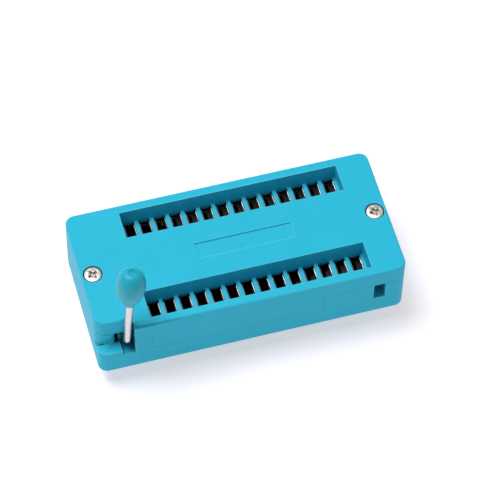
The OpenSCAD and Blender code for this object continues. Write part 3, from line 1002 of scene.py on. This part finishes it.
floor_mesh = bpy.data.meshes.new("table_top")
half = FLOOR_SIZE / 2
floor_z = cad_box[0].z
floor_mesh.from_pydata(
    [(-half, -half, floor_z), (half, -half, floor_z), (half, half, floor_z), (-half, half, floor_z)],
    [],
    [(0, 1, 2, 3)],
)
floor = bpy.data.objects.new("table_top", floor_mesh)
scene.collection.objects.link(floor)
floor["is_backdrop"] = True
paper = bpy.data.materials.new("white_paper")
paper.use_nodes = True
tree = paper.node_tree
tree.nodes.clear()
rays = add(tree, "ShaderNodeLightPath")
seen = rays.outputs["Is Camera Ray"]
for other in ("Is Glossy Ray", "Is Transmission Ray"):
    either = add(tree, "ShaderNodeMath", {"operation": "MAXIMUM"}, {0: seen, 1: rays.outputs[other]})
    seen = either.outputs["Value"]
lit = add(tree, "ShaderNodeBsdfDiffuse", {"Color": linear(SHADOW_SHARE[0])})
own = add(tree, "ShaderNodeEmission", {"Color": linear(SHADOW_SHARE[1])})
both = add(tree, "ShaderNodeAddShader", links={0: lit.outputs["BSDF"], 1: own.outputs["Emission"]})
bounce = add(tree, "ShaderNodeBsdfDiffuse", {"Color": linear("#E6E6E6")})
glow = add(tree, "ShaderNodeEmission", {"Strength": BOUNCE})
given_back = add(
    tree, "ShaderNodeAddShader", links={0: bounce.outputs["BSDF"], 1: glow.outputs["Emission"]}
)
choice = add(
    tree, "ShaderNodeMixShader", links={0: seen, 1: given_back.outputs["Shader"], 2: both.outputs["Shader"]}
)
add(tree, "ShaderNodeOutputMaterial", links={"Surface": choice.outputs["Shader"]})
floor_mesh.materials.append(paper)
print("floor at", round(floor_z / MM, 2), "mm")

# %% [markdown]
# ## Light
#
# The room is a soft, even white. One large softbox hangs nearly overhead, behind
# and to the left, and gives the shadow, and a weak one low in front keeps the front
# faces from going dull. To the camera itself the room is plain white.

# %% World and lamps
AMBIENT = 0.3
world = bpy.data.worlds.new("soft_room")
scene.world = world
world.use_nodes = True
tree = world.node_tree
tree.nodes.clear()
rays = add(tree, "ShaderNodeLightPath")
room = add(tree, "ShaderNodeBackground", {"Color": linear("#FFFFFF"), "Strength": AMBIENT})
white = add(tree, "ShaderNodeBackground", {"Color": linear("#FFFFFF"), "Strength": 1.0})
choice = add(
    tree,
    "ShaderNodeMixShader",
    links={0: rays.outputs["Is Camera Ray"], 1: room.outputs["Background"], 2: white.outputs["Background"]},
)
add(tree, "ShaderNodeOutputWorld", links={"Surface": choice.outputs["Shader"]})


def soft_lamp(name, azimuth, elevation, distance, size, watts):
    """A square area lamp that looks at the middle of the object."""
    data = bpy.data.lights.new(name, "AREA")
    data.shape, data.size, data.energy = "SQUARE", size, watts
    lamp = bpy.data.objects.new(name, data)
    scene.collection.objects.link(lamp)
    a, e = math.radians(azimuth), math.radians(elevation)
    back = Vector((math.sin(a) * math.cos(e), -math.cos(a) * math.cos(e), math.sin(e)))
    lamp.location = (cad_box[0] + cad_box[1]) / 2 + back * distance
    lamp.rotation_mode = "QUATERNION"
    lamp.rotation_quaternion = back.to_track_quat("Z", "Y")
    print(f"{name}: {watts} W from {azimuth} degrees round and {elevation} up")


soft_lamp("overhead_softbox", 235, 72, 0.6, 0.3, 2.9)
soft_lamp("low_front_fill", -25, 7, 0.7, 0.3, 0.25)

# %% [markdown]
# ## Camera
#
# The camera stands to the left of the front, well above, with a long lens. It aims
# a little past the middle of the socket, which leaves room above it.

# %% Camera
AZIMUTH, ELEVATION, ROLL = -16.487, 57.413, 1.265
DISTANCE = 0.45
LENS = 201.33
AIM_RIGHT, AIM_UP = 2.556 * MM, 4.654 * MM
underside = 0.4 * MM
a, e, r = (math.radians(v) for v in (AZIMUTH, ELEVATION, ROLL))
back = Vector((math.sin(a) * math.cos(e), -math.cos(a) * math.cos(e), math.sin(e)))
level_right = Vector((0, 0, 1)).cross(back).normalized()
level_up = back.cross(level_right)
right = math.cos(r) * level_right + math.sin(r) * level_up
up = math.cos(r) * level_up - math.sin(r) * level_right
target = Vector(((housing_low.x + housing_high.x) / 2, 0, housing_low.z + underside))
place = target + back * DISTANCE
aim = target + AIM_RIGHT * right + AIM_UP * up
out = (place - aim).normalized()
across = up.cross(out).normalized()
camera_data = bpy.data.cameras.new("portrait")
camera_data.lens, camera_data.sensor_width = LENS, 36.0
camera_data.clip_start, camera_data.clip_end = 0.01, 20.0
camera = bpy.data.objects.new("portrait", camera_data)
scene.collection.objects.link(camera)
turned = Matrix((across, out.cross(across), out)).transposed().to_4x4()
camera.matrix_world = Matrix.Translation(place) @ turned
scene.camera = camera
print("camera at mm", [round(c / MM, 1) for c in place])

# %% [markdown]
# ## Sizes
#
# The dressed socket is meant to be as large as the CAD model, so both boxes are
# printed in mm.

# %% Print both sizes
bpy.context.view_layer.update()
dressed_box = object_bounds()
sizes = {"cad": [list(c) for c in cad_box], "visual": [list(c) for c in dressed_box]}
for key, corners in sizes.items():
    print(key, [[round(c / MM, 3) for c in corner] for corner in corners])
